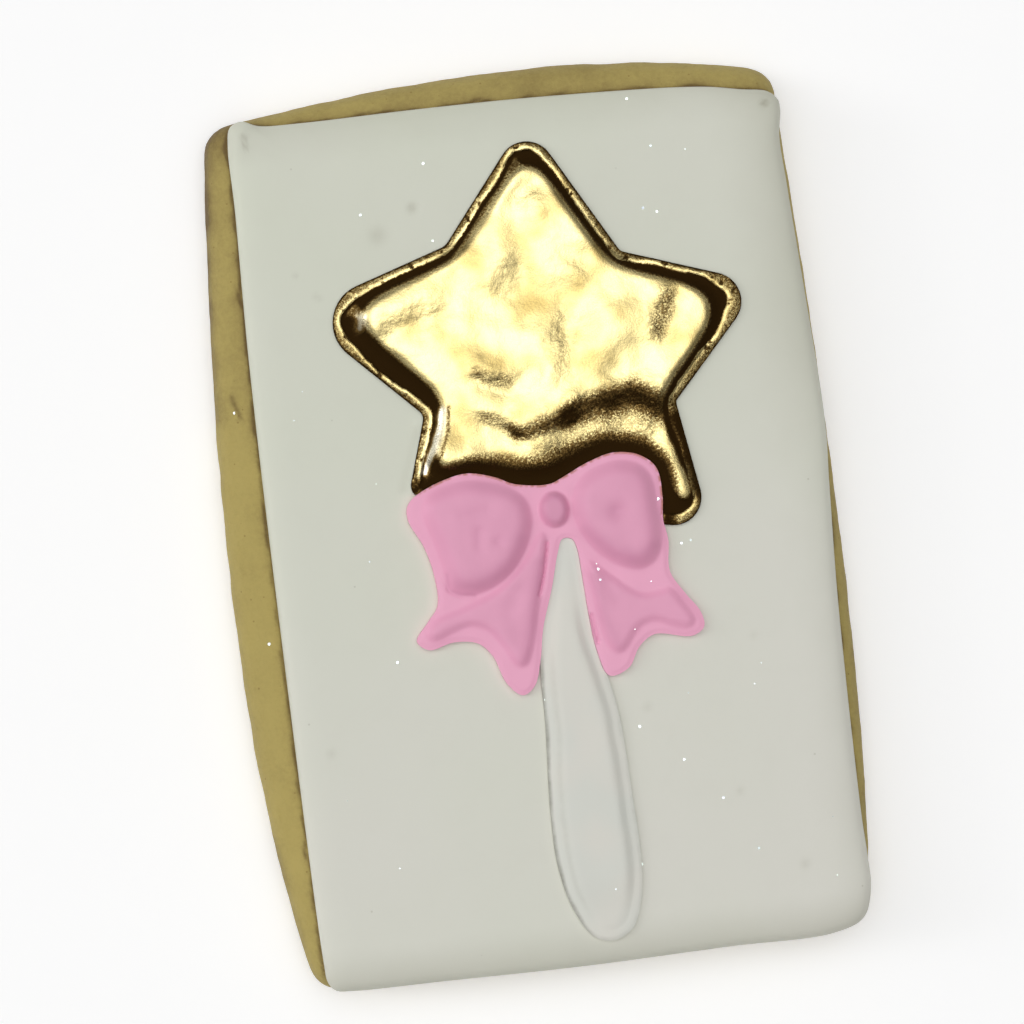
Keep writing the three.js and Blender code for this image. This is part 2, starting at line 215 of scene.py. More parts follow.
def swollen_outline(corners, swell, corner, step):
    """Four sides that swell outwards as shallow curves, with soft corners, anticlockwise."""
    sides = []
    for i, (height, where) in enumerate(swell):
        a, b = np.array(corners[i]), np.array(corners[(i + 1) % len(corners)])
        along = unit(b - a)
        start, end = a + along * corner, b - along * corner
        bulge = start + (end - start) * where + 2 * height * np.array((along[1], -along[0]))
        sides.append((start, bulge, end))
    path = []
    for i, (start, bulge, end) in enumerate(sides):
        start_2, bulge_2, _ = sides[(i + 1) % len(sides)]
        first, second = end - bulge, start_2 - bulge_2
        reach = np.linalg.solve(np.column_stack([first, -second]), bulge_2 - bulge)[0]
        for p0, p1, p2 in ((start, bulge, end), (end, bulge + first * reach, start_2)):
            u = np.linspace(0, 1, 200, endpoint=False)[:, None]
            path.append((1 - u) ** 2 * p0 + 2 * u * (1 - u) * p1 + u**2 * p2)
    return spaced(np.vstack(path), step)


def to_path(points, path, closed=False):
    """Each point's distance to a path, the nearest place on it, and whether a closed path holds the point."""
    path = np.array(path, float)
    start = path if closed else path[:-1]
    end = np.roll(path, -1, axis=0) if closed else path[1:]
    side = end - start
    length = (side**2).sum(1)
    gap, place, inside = np.empty(len(points)), np.empty((len(points), 2)), np.empty(len(points), bool)
    batch = 4000
    for first in range(0, len(points), batch):
        rows = slice(first, first + batch)
        x, y = points[rows, 0:1], points[rows, 1:2]
        share = np.clip(((x - start[:, 0]) * side[:, 0] + (y - start[:, 1]) * side[:, 1]) / length, 0, 1)
        off = (start[:, 0] + share * side[:, 0] - x) ** 2 + (start[:, 1] + share * side[:, 1] - y) ** 2
        best = off.argmin(1)
        count = np.arange(len(best))
        gap[rows] = np.sqrt(off[count, best])
        place[rows] = start[best] + share[count, best, None] * side[best]
        spans = (start[:, 1] > y) != (end[:, 1] > y)
        with np.errstate(divide="ignore", invalid="ignore"):
            crossing = start[:, 0] + (y - start[:, 1]) * side[:, 0] / side[:, 1]
        inside[rows] = (spans & (x < crossing)).sum(1) % 2 == 1
    return gap, place, inside


def depth_in(points, outline):
    """How far each point is inside a closed outline, negative outside it."""
    gap, _, inside = to_path(points, outline, closed=True)
    return np.where(inside, gap, -gap)


def outset(outline, distance):
    """The outline moved outwards, without the points that would cross."""
    along = np.roll(outline, -1, axis=0) - np.roll(outline, 1, axis=0)
    along /= np.linalg.norm(along, axis=1, keepdims=True)
    x, y = outline.T
    turn = np.sign((x * np.roll(y, -1) - y * np.roll(x, -1)).sum())
    moved = outline + turn * distance * np.column_stack([along[:, 1], -along[:, 0]])
    gap, _, _ = to_path(moved, outline, closed=True)
    return moved[gap > 0.97 * distance]


def run_of(outline, wanted):
    """The points of an outline that are wanted, in order from where a run of them starts."""
    first = next(i for i in range(len(outline)) if wanted[i] and not wanted[i - 1])
    return np.roll(outline, -first, axis=0)[np.roll(wanted, -first)]


def cut_outline(outline, cutter):
    """An outline with the part inside the cutter taken away, closed along the cutter's edge."""
    kept = run_of(outline, depth_in(outline, cutter) < 0)
    seam = run_of(cutter, depth_in(cutter, outline) > 0)
    return np.vstack([kept, min((seam, seam[::-1]), key=lambda line: np.linalg.norm(line[0] - kept[-1]))])


# ---- heights --------------------------------------------------------------------------------------------

def rounded(section, soften=0.1):
    """A section's height as a function of the distance in, with its corners rounded off."""
    pitch = 0.02
    reach = np.arange(section[0][0] - 1, section[-1][0] + 1, pitch)
    spread = np.arange(-3 * soften, 3 * soften + pitch, pitch)
    weight = np.exp(-((spread / soften) ** 2))
    heights = np.pad(np.interp(reach, *zip(*section)), len(spread) // 2, mode="edge")
    heights = np.convolve(heights, weight / weight.sum(), mode="same")[len(spread) // 2:][: len(reach)]
    return lambda depth: np.interp(depth, reach, heights)


def higher(a, b, blend):
    """The higher of two surfaces, with the join filleted."""
    return np.logaddexp(a / blend, b / blend) * blend


def lower(a, b, blend):
    return -higher(-a, -b, blend)


def ease(value, start, end):
    """From 0 at start to 1 at end, without corners."""
    share = np.clip((value - start) / (end - start), 0, 1)
    return share * share * (3 - 2 * share)


def waves(points, size, seed=0.0):
    """Soft random waviness from -1 to 1, with hollows and bumps of about the given size."""
    flat = points.reshape(-1, points.shape[-1])
    heights = [noise.noise((x / size, y / size, seed)) for x, y in flat[:, :2]]
    return np.array(heights).reshape(points.shape[:-1])


def stroke(points, path, width):
    """1 along a modelling tool's path, or at a spot, fading to 0 to either side over the width."""
    flat = points.reshape(-1, 2)
    gap = to_path(flat, path)[0] if len(path) > 1 else np.linalg.norm(flat - np.array(path[0]), axis=1)
    return stroke_of(gap, width).reshape(points.shape[:-1])


def stroke_of(gap, width):
    """1 on a line, fading to 0 on both sides of it."""
    return np.exp(-((gap / width) ** 2))


def fall(points, path, towards, width):
    """A slope across a path, high on one side and low on the other."""
    shift = 0.7 * width * unit(np.array(towards, float))
    return stroke(points, np.array(path) - shift, width) - stroke(points, np.array(path) + shift, width)


class Tray:
    """The fine square grid that a moulded piece is worked out on. A field is a number at each crossing."""

    def __init__(self, outline, cell):
        margin = 10 * cell
        self.cell = cell
        self.low = outline.min(0) - margin
        self.count = np.ceil((outline.max(0) + margin - self.low) / cell).astype(int)
        columns, rows = (np.arange(count + 1) for count in self.count)
        self.points = self.low + cell * np.stack(np.meshgrid(columns, rows), axis=-1)

    def depth(self, outline):
        return depth_in(self.points.reshape(-1, 2), outline).reshape(self.points.shape[:2])

    def waves(self, size, seed):
        return waves(self.points, size, seed)

    def by_hand(self, size, reach):
        """The crossings shifted a little at random, so that what is drawn on them looks hand-made."""
        drift = np.stack([self.waves(size, 31.0), self.waves(size, 37.0)], axis=-1)
        return self.points + reach * drift

    def mound(self, depth, softness):
        """From 0 outside to 1 inside where a depth is positive, blurred as soft paste takes a form."""
        filled = np.clip(depth / self.cell + 0.5, 0, 1)
        down, across = (np.fft.fftfreq(size, self.cell) for size in filled.shape)
        fade = np.exp(-2 * (math.pi * softness) ** 2 * (down[:, None] ** 2 + across**2))
        return np.fft.ifft2(np.fft.fft2(filled) * fade).real

    def read(self, field, flat):
        """The field's value at any points, straight between its crossings."""
        spot = np.clip((flat - self.low) / self.cell, 0, self.count - 1e-6)
        column, row = spot.astype(int).T
        u, v = (spot % 1).T
        below = (1 - u) * field[row, column] + u * field[row, column + 1]
        above = (1 - u) * field[row + 1, column] + u * field[row + 1, column + 1]
        return (1 - v) * below + v * above


# ---- modelling ------------------------------------------------------------------------------------------

def clear_selection():
    if bpy.context.object and bpy.context.object.mode != "OBJECT":
        bpy.ops.object.mode_set(mode="OBJECT")
    bpy.ops.object.select_all(action="DESELECT")


def places_of(piece):
    places = np.empty(len(piece.data.vertices) * 3)
    piece.data.vertices.foreach_get("co", places)
    return places.reshape(-1, 3) / MM


def move_to(piece, places):
    piece.data.vertices.foreach_set("co", (places * MM).ravel())
    piece.data.update()


def pick(piece, kind, wanted):
    """Selects vertices, edges or polygons by a mask, in object mode, ready for edit mode."""
    bpy.ops.object.mode_set(mode="EDIT")
    bpy.ops.mesh.select_mode(type={"vertices": "VERT", "edges": "EDGE", "polygons": "FACE"}[kind])
    bpy.ops.mesh.select_all(action="DESELECT")
    bpy.ops.object.mode_set(mode="OBJECT")
    getattr(piece.data, kind).foreach_set("select", np.asarray(wanted, bool))
    bpy.ops.object.mode_set(mode="EDIT")


def new_piece(name):
    piece = bpy.context.object
    piece.name = piece.data.name = name
    return piece


def border_of(piece):
    """Which edges have only one face, and which vertices are on them."""
    faces_at = np.zeros(len(piece.data.edges), int)
    loop_edges = np.empty(len(piece.data.loops), int)
    piece.data.loops.foreach_get("edge_index", loop_edges)
    np.add.at(faces_at, loop_edges, 1)
    ends = np.empty(len(piece.data.edges) * 2, int)
    piece.data.edges.foreach_get("vertices", ends)
    rim = np.zeros(len(piece.data.vertices), bool)
    rim[ends.reshape(-1, 2)[faces_at == 1].ravel()] = True
    return faces_at == 1, rim


def moulded(name, outline, cell, relief):
    """A piece pressed in a mould: a grid cut to its outline, raised by its relief and closed underneath.

    Its relief also gives the named values that are painted on it.
    """
    tray = Tray(outline, cell)
    across, tall = (int(count) for count in tray.count)
    clear_selection()
    bpy.ops.mesh.primitive_grid_add(x_subdivisions=across, y_subdivisions=tall, size=1)
    piece = new_piece(name)
    places = places_of(piece) * MM
    places[:, :2] = tray.low + (places[:, :2] + 0.5) * tray.count * cell
    move_to(piece, places)

    depth = tray.depth(outline)
    centres = np.empty(len(piece.data.polygons) * 3)
    piece.data.polygons.foreach_get("center", centres)
    pick(piece, "polygons", tray.read(depth, centres.reshape(-1, 3)[:, :2] / MM) < 0)
    bpy.ops.mesh.delete(type="FACE")
    bpy.ops.object.mode_set(mode="OBJECT")

    edge, rim = border_of(piece)
    places = places_of(piece)
    places[rim, :2] = to_path(places[rim, :2], outline, closed=True)[1]
    move_to(piece, places)
    pick(piece, "vertices", (tray.read(depth, places[:, :2]) < 2.5 * cell) & ~rim)
    bpy.ops.mesh.vertices_smooth(factor=0.5, repeat=3, zaxis=False)
    bpy.ops.object.mode_set(mode="OBJECT")

    places = places_of(piece)
    flat = places[:, :2].copy()
    height, paints = relief(tray)
    places[:, 2] = ICING_TOP + tray.read(height, flat)
    move_to(piece, places)
    pick(piece, "edges", edge)
    bpy.ops.mesh.extrude_edges_move()
    bpy.ops.object.mode_set(mode="OBJECT")
    top = len(places)
    places = places_of(piece)
    places[top:, 2] = ICING_TOP - PRESSED_IN
    move_to(piece, places)
    bpy.ops.object.mode_set(mode="EDIT")
    bpy.ops.mesh.edge_face_add()
    bpy.ops.object.mode_set(mode="OBJECT")
    finish_mesh(piece)
    for paint, field in paints.items():
        values = tray.read(field, flat)
        paint_on(piece, paint, np.concatenate([values, values[rim]]))
    return piece


def slab(name, outline, section, wide=0):
    """A flat piece with a shaped edge: a strip wrapped round its outline, closed above and below.

    Where its lower side is said to be so many steps wide, its top is a stretched grid.
    """
    ring, levels = len(outline), len(section)
    clear_selection()
    bpy.ops.mesh.primitive_grid_add(x_subdivisions=ring, y_subdivisions=levels - 1, size=1)
    piece = new_piece(name)
    grid = np.round((places_of(piece)[:, :2] * MM + 0.5) * (ring, levels - 1)).astype(int)
    middle = (outline.min(0) + outline.max(0)) / 2
    half = (outline.max(0) - outline.min(0)) / 2
    inward, height = np.array(section).T
    scale = 1 - inward[grid[:, 1], None] / half
    flat = middle + (outline[grid[:, 0] % ring] - middle) * scale
    move_to(piece, np.column_stack([flat, height[grid[:, 1]]]))
    if wide:
        patch_over(piece, middle + (outline - middle) * (1 - inward[-1] / half), height[-1], wide)
    pick(piece, "vertices", np.ones(len(piece.data.vertices)))
    bpy.ops.mesh.remove_doubles(threshold=0.01 * MM)
    bpy.ops.mesh.select_all(action="DESELECT")
    bpy.ops.mesh.select_mode(type="EDGE")
    bpy.ops.mesh.select_non_manifold(extend=False)
    bpy.ops.mesh.fill_holes(sides=0)
    bpy.ops.object.mode_set(mode="OBJECT")
    finish_mesh(piece)
    return piece


def patch_over(piece, ring, height, across):
    """Joins to the piece a grid stretched between the four sides of a ring that starts at a corner."""
    tall = len(ring) // 2 - across
    bpy.ops.object.select_all(action="DESELECT")
    bpy.ops.mesh.primitive_grid_add(x_subdivisions=across, y_subdivisions=tall, size=1)
    top = bpy.context.object
    grid = np.round((places_of(top)[:, :2] * MM + 0.5) * (across, tall)).astype(int)
    i, j = grid.T
    bottom, right = ring[i], ring[across + j]
    upper, left = ring[(2 * across + tall - i) % len(ring)], ring[-j]
    u, v = (i / across)[:, None], (j / tall)[:, None]
    corners = (
        (1 - u) * (1 - v) * ring[0] + u * (1 - v) * ring[across]
        + u * v * ring[across + tall] + (1 - u) * v * ring[2 * across + tall]
    )
    flat = (1 - v) * bottom + v * upper + (1 - u) * left + u * right - corners
    move_to(top, np.column_stack([flat, np.full(len(flat), height)]))
    piece.select_set(True)
    bpy.context.view_layer.objects.active = piece
    bpy.ops.object.join()


def finish_mesh(piece):
    """Turns the faces outwards and smooths the shading, except over sharp edges."""
    pick(piece, "polygons", np.ones(len(piece.data.polygons)))
    bpy.ops.mesh.normals_make_consistent(inside=False)
    bpy.ops.object.mode_set(mode="OBJECT")
    bpy.ops.object.shade_smooth_by_angle(angle=math.radians(SHARP_EDGE))


def paint_on(piece, name, values):
    """Keeps a value at each vertex, for the piece's finish to read."""
    piece.data.attributes.new(name, "FLOAT", "POINT").data.foreach_set("value", values)


def stands_for(piece, node, finish):
    piece.data.materials.append(finish)
    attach(piece, "root")
    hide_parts(node)


# ---- finishes -------------------------------------------------------------------------------------------

class Term:
    """A socket on a board of nodes, so that shader maths reads as plain sums."""

    def __init__(self, board, socket):
        self.board = board
        self.socket = socket

    def maths(self, operation, *terms):
        return self.board.node("ShaderNodeMath", {"operation": operation}, dict(enumerate(terms)))

    def __add__(self, other):
        return self.maths("ADD", self, other)

    def __mul__(self, other):
        return self.maths("MULTIPLY", self, other)

    def __sub__(self, other):
        return self.maths("SUBTRACT", self, other)

    def __rsub__(self, other):
        return self.maths("SUBTRACT", other, self)

    __radd__, __rmul__ = __add__, __mul__

    def between(self, start, end):
        """From 0 at start to 1 at end, without corners."""
        settings = {"interpolation_type": "SMOOTHSTEP"}
        return self.board.node("ShaderNodeMapRange", settings, {"Value": self, 1: start, 2: end})


class Board:
    """The nodes of a material or of the sky."""

    def __init__(self, owner):
        owner.use_nodes = True
        self.nodes = owner.node_tree.nodes
        self.links = owner.node_tree.links

    def node(self, kind, settings=None, inputs=None, output=0):
        made = self.nodes.new(kind)
        for name, value in (settings or {}).items():
            setattr(made, name, value)
        for name, value in (inputs or {}).items():
            if isinstance(value, Term):
                self.links.new(value.socket, made.inputs[name])
            else:
                made.inputs[name].default_value = value
        return Term(self, made.outputs[output])


class Finish(Board):
    """A material being made: its shader, and what feeds it."""

    def __init__(self, name, **constants):
        self.material = bpy.data.materials.new(name)
        super().__init__(self.material)
        self.shader = self.nodes["Principled BSDF"]
        for socket, value in constants.items():
            self.shader.inputs[socket.replace("_", " ")].default_value = value
        self.place = self.node("ShaderNodeTexCoord", output="Object")

    def grain(self, size, detail=2.0, roughness=0.5):
        """Noise with marks of about the given size in millimetres, from 0 to 1."""
        inputs = {"Vector": self.place, "Scale": 1 / (size * MM), "Detail": detail, "Roughness": roughness}
        return self.node("ShaderNodeTexNoise", None, inputs)

    def holes(self, spacing, radius):
        """1 in pin holes scattered about the given distance apart, in millimetres."""
        inputs = {"Vector": self.place, "Scale": 1 / (spacing * MM), "Randomness": 1.0}
        nearest = self.node("ShaderNodeTexVoronoi", None, inputs, output="Distance")
        return 1 - nearest.between(0.6 * radius / spacing, radius / spacing)

    def mix(self, first, second, share):
        """A colour between two colours."""
        inputs = {"Factor": share, 6: first, 7: second}
        return self.node("ShaderNodeMix", {"data_type": "RGBA"}, inputs, output=2)

    def painted(self, name):
        """A value painted on the piece's own vertices."""
        return self.node("ShaderNodeAttribute", {"attribute_name": name}, None, output="Fac")

    def bump(self, height, depth, under=None):
        """A relief of the given depth in millimetres, on top of another if there is one."""
        inputs = {"Height": height, "Distance": depth * MM, "Strength": 1.0}
        if under:
            inputs["Normal"] = under
        return self.node("ShaderNodeBump", None, inputs)

    def feed(self, **sockets):
        for socket, value in sockets.items():
            self.links.new(value.socket, self.shader.inputs[socket.replace("_", " ")])
        return self.material


def rgb(red, green, blue):
    return (red, green, blue, 1.0)


def baked_dough():
    finish = Finish("baked_dough", Roughness=0.75)
    crumb = finish.grain(0.5, 4, 0.7)
    # pale to dark by values on the vertices that hold both real browning and painted shade
    share = finish.painted("brown_and_shade") + (crumb - 0.5) * 0.5 + (finish.grain(3.0, 3) - 0.5) * 0.4
    tone = finish.mix(rgb(0.50, 0.395, 0.12), rgb(0.16, 0.10, 0.027), share.between(-0.1, 1.1))
    # dark dots: shade painted in the crumb's pores
    tone = finish.mix(tone, rgb(0.22, 0.13, 0.03), finish.holes(1.4, 0.13) * 0.5)
    relief = finish.bump(crumb, 0.09)
    relief = finish.bump(finish.grain(0.16, 3), 0.04, relief)
    return finish.feed(Base_Color=tone, Normal=relief)


def rolled_icing():
    finish = Finish("rolled_icing", Roughness=0.5, Specular_IOR_Level=0.35)
    tone = finish.mix(rgb(0.765, 0.79, 0.66), rgb(0.81, 0.80, 0.72), finish.painted("warm"))
    # greyer where shade is painted on its drooping edges and in its pits, and at faint marks; the pin holes
    # are darkened as painted shade
    share = finish.painted("grey_and_shade") * 0.5 + finish.holes(4.5, 0.14) * 0.4 + (finish.grain(4, 3) - 0.5) * 0.12
    tone = finish.mix(tone, rgb(0.50, 0.49, 0.39), share)
    relief = finish.bump(finish.grain(1.6, 2), 0.03)
    relief = finish.bump(finish.grain(0.25, 2), 0.008, relief)
    return finish.feed(Base_Color=tone, Normal=relief)


def gold_paint():
    """Gold rubbed browner, with dull dark shade painted in its hollows and painted whitish highlights."""
    finish = Finish("gold_paint", Specular_IOR_Level=0.0)
    fleck = finish.grain(0.2, 3, 0.65).between(0.3, 0.7)
    painted, painted_highlight = finish.painted("worn_and_shade"), finish.painted("painted_highlight")
    loose = (painted * (1.05 - painted)).between(0.0, 0.25) * (1 - painted_highlight)
    worn_and_shade = painted + (fleck - 0.5) * loose * 0.38 + (finish.grain(1.6, 3) - 0.5) * 0.16
    tone = finish.mix(rgb(0.84, 0.69, 0.32), rgb(0.45, 0.335, 0.12), finish.grain(5.0, 2).between(0.38, 0.78))
    # a whitish gold where highlights are painted; browner, then near black and dull, where paint is rubbed
    # through and where shade is painted
    tone = finish.mix(tone, rgb(0.92, 0.86, 0.68), painted_highlight)
    tone = finish.mix(tone, rgb(0.20, 0.12, 0.035), worn_and_shade.between(0.05, 0.4))
    tone = finish.mix(tone, rgb(0.05, 0.028, 0.008), worn_and_shade.between(0.3, 0.7))
    tone = finish.mix(tone, rgb(0.03, 0.015, 0.004), worn_and_shade.between(0.6, 0.9))
    relief = finish.bump(finish.grain(0.7, 2), 0.025)
    relief = finish.bump(fleck * (0.2 + 0.8 * loose), 0.03, relief)
    metal, rough = 0.87 - 0.87 * worn_and_shade.between(0.65, 0.95), 0.22 + 0.08 * fleck + 0.1 * worn_and_shade
    return finish.feed(Base_Color=tone, Metallic=metal, Roughness=rough, Normal=relief)


def glitter_flakes():
    finish = Finish("glitter_flakes", Metallic=0.5, Roughness=0.2)
    tone = finish.mix(rgb(0.82, 0.90, 1.0), rgb(0.85, 1.0, 0.88), finish.painted("tint"))
    return finish.feed(Base_Color=tone)


def pink_paste():
    finish = Finish("pink_paste", Roughness=0.45, Specular_IOR_Level=0.4)
    light, deep = rgb(0.985, 0.455, 0.645), rgb(0.70, 0.27, 0.43)
    # deeper pink on the thick raised forms, and where shade is painted
    share = finish.painted("deep_pink_and_shade") + (finish.grain(2.5, 2) - 0.5) * 0.4
    tone = finish.mix(light, deep, share.between(-0.2, 2.0))
    tone = finish.mix(tone, rgb(0.50, 0.16, 0.07), finish.painted("gilded") * 0.8)
    relief = finish.bump(finish.grain(0.35, 2), 0.008)
    return finish.feed(Base_Color=tone, Normal=relief)


def white_paste():
    finish = Finish("white_paste", Roughness=0.5, Specular_IOR_Level=0.35)
    cool, warm = rgb(0.785, 0.795, 0.725), rgb(0.82, 0.805, 0.73)
    tone = finish.mix(cool, warm, finish.grain(7, 1).between(0.35, 0.65))
    # darkened as painted shade in the crease at the stick's foot and beside its raised middle
    share = finish.painted("foot") * (0.3 + 0.7 * finish.grain(0.8, 2))
    tone = finish.mix(tone, rgb(0.30, 0.29, 0.24), share)
    relief = finish.bump(finish.grain(0.5, 2), 0.01)
    return finish.feed(Base_Color=tone, Normal=relief)


# ---- the pieces -----------------------------------------------------------------------------------------

bow_outline = soft_outline(BOW_TOP + BOW_RIGHT + BOW_NOTCH + BOW_LEFT)
bow_reach = outset(bow_outline, HAIRLINE)
star_outline = cornered_outline(STAR_CORNERS)

# the thicker upper part of the star's body, whose lower edge laps over the rest on the right
STAR_LAP = [
    (-40, 9), (-9, 9.6), (-4.6, 10.0), (-2.3, 9.6), (-0.6, 9.2), (1.9, 9.5), (4.4, 10.1), (6.6, 10.9),
    (8.8, 11.4), (10.7, 11.9), (13.3, 11.2), (40, 12), (40, 60), (-40, 60),
]
# ridges that carry the star's body out along its top arm and its narrow right leg, and half their width
RIDGES = [([(2.8, 35.6), (2.9, 32)], 0.85), ([(12.5, 8.7), (13.8, 5.8), (14.55, 3.5), (15.25, 1.0)], 1.05)]
# how far the body's tips are blunted from left to right, and between which heights that sets in
STAR_TIPS = [(-14, 0.5), (-7, 0), (11, 0), (16, 0.9)]
ABOVE_LEGS = (12, 16)
# how much farther than usual the star's body stands from the bow, from left to right
OFF_BOW = [
    (-11, -0.75), (-8, -0.7), (-5.4, -0.25), (-3.1, 0.2), (-0.4, 0.6), (2.3, 0.6), (4.4, 0.1), (7, 0.1),
    (9.7, -0.2), (11.7, -0.25), (12.7, -0.5),
]
# where shade is painted dark on the right leg's rim, where a highlight is painted on the left leg's shoulder
# with shade painted in the crease beside it, and where a highlight is painted on the left tip
LEG_SHADED_SIDE = [(15.4, 8.6), (16.6, 4.0), (17.6, -0.5), (17.0, -1.8)]
LEG_HIGHLIGHT = [(-8.8, 12.1), (-9.35, 10.0), (-10.2, 8.1), (-11.2, 6.0)]
LEG_CREASE_SHADE = [(-8.1, 12.4), (-8.45, 9.9), (-9.2, 7.95), (-10.3, 6.1)]
TIP_HIGHLIGHT = [(-16.1, 22.4), (-16.2, 21.4)]
# where the rim is wider: path, width, and by how much of its own width
RIM_FLARES = [
    ([(22.6, 22.4), (23.4, 20.6), (22.5, 18.9)], 1.8, 1.1), ([(18.8, 15.0), (16.4, 12.4)], 0.9, 0.35),
    ([(13.0, -1.0), (15.2, -1.5)], 0.9, 0.3), ([(-15.8, 25.6), (-18.0, 24.2)], 0.9, 0.6),
    ([(-18.6, 21.0), (-17.4, 19.2)], 0.9, 0.5), ([(13.5, 25.8), (20.0, 23.6)], 1.0, -0.25),
    ([(-12.0, 13.3), (-17.0, 18.3)], 1.0, -0.25),
]
# the way the star's lit shoulders face, which get less painted shade, the way its broader, darker ones face,
# and how much broader those are
LIT_WAY, SHADED_WAY, SHADED_INSET = (-0.78, 0.62), (-0.6, -0.8), 0.95
# where the star's face falls away: path, which way it falls, width, drop, and how far the paint is rubbed
# through there; the last also sets how much shade is painted on the fall
STAR_FALLS = [
    ([(4.4, 10.2), (6.6, 11.0), (8.8, 11.5), (10.7, 11.9), (13.4, 10.6)], (0.1, -1), 1.5, 0.2, 0.5),
    ([(8.5, 10.6), (10.5, 11.0), (13.6, 9.6)], (0.1, -1), 1.5, 0.08, 0.25),
    ([(-1.5, 9.4), (-0.6, 9.2), (1.9, 9.5), (4.4, 10.2)], (0.1, -1), 0.9, 0.12, 0.4),
    ([(-4.6, 10.9), (-3.0, 10.2), (-1.5, 9.4)], (0.1, -1), 0.9, 0.1, 0.2),
    ([(15.8, 21.4), (14.9, 19.5), (14.2, 18.0)], (1, -0.2), 1.3, 0.15, 0.24),
    ([(-4.6, 15.4), (-3.0, 14.7), (-1.7, 14.1)], (-0.3, -1), 1.1, 0.15, 0.22),
    ([(-0.4, 26.0), (-1.0, 25.0), (-1.8, 24.1)], (0.8, -0.5), 1.5, 0.14, 0.07),
    ([(4.3, 20.2), (3.8, 18.0), (3.9, 15.0)], (1, 0.1), 1.6, 0.15, 0.1),
    ([(-14.3, 20.2), (-13.3, 21.4), (-11.2, 22.2), (-8.7, 22.6)], (0.4, -1), 1.5, 0.17, 0.08),
    ([(1.6, 32.6), (3.0, 32.9)], (0, 1), 1.2, 0.12, 0.08),
    ([(6.8, 25.0), (5.2, 26.0)], (0.7, 1), 1.3, 0.12, 0.08),
    ([(1.0, 7.0), (5.5, 7.4), (9.5, 8.8), (12.0, 8.0)], (0, -1), 2.0, 0.2, 0.12),
]


def faces(slope, way, start, end):
    """From 0 to 1 as the outline nearby faces more nearly the given way."""
    up, across = slope
    return ease(-way[0] * across - way[1] * up, start, end)


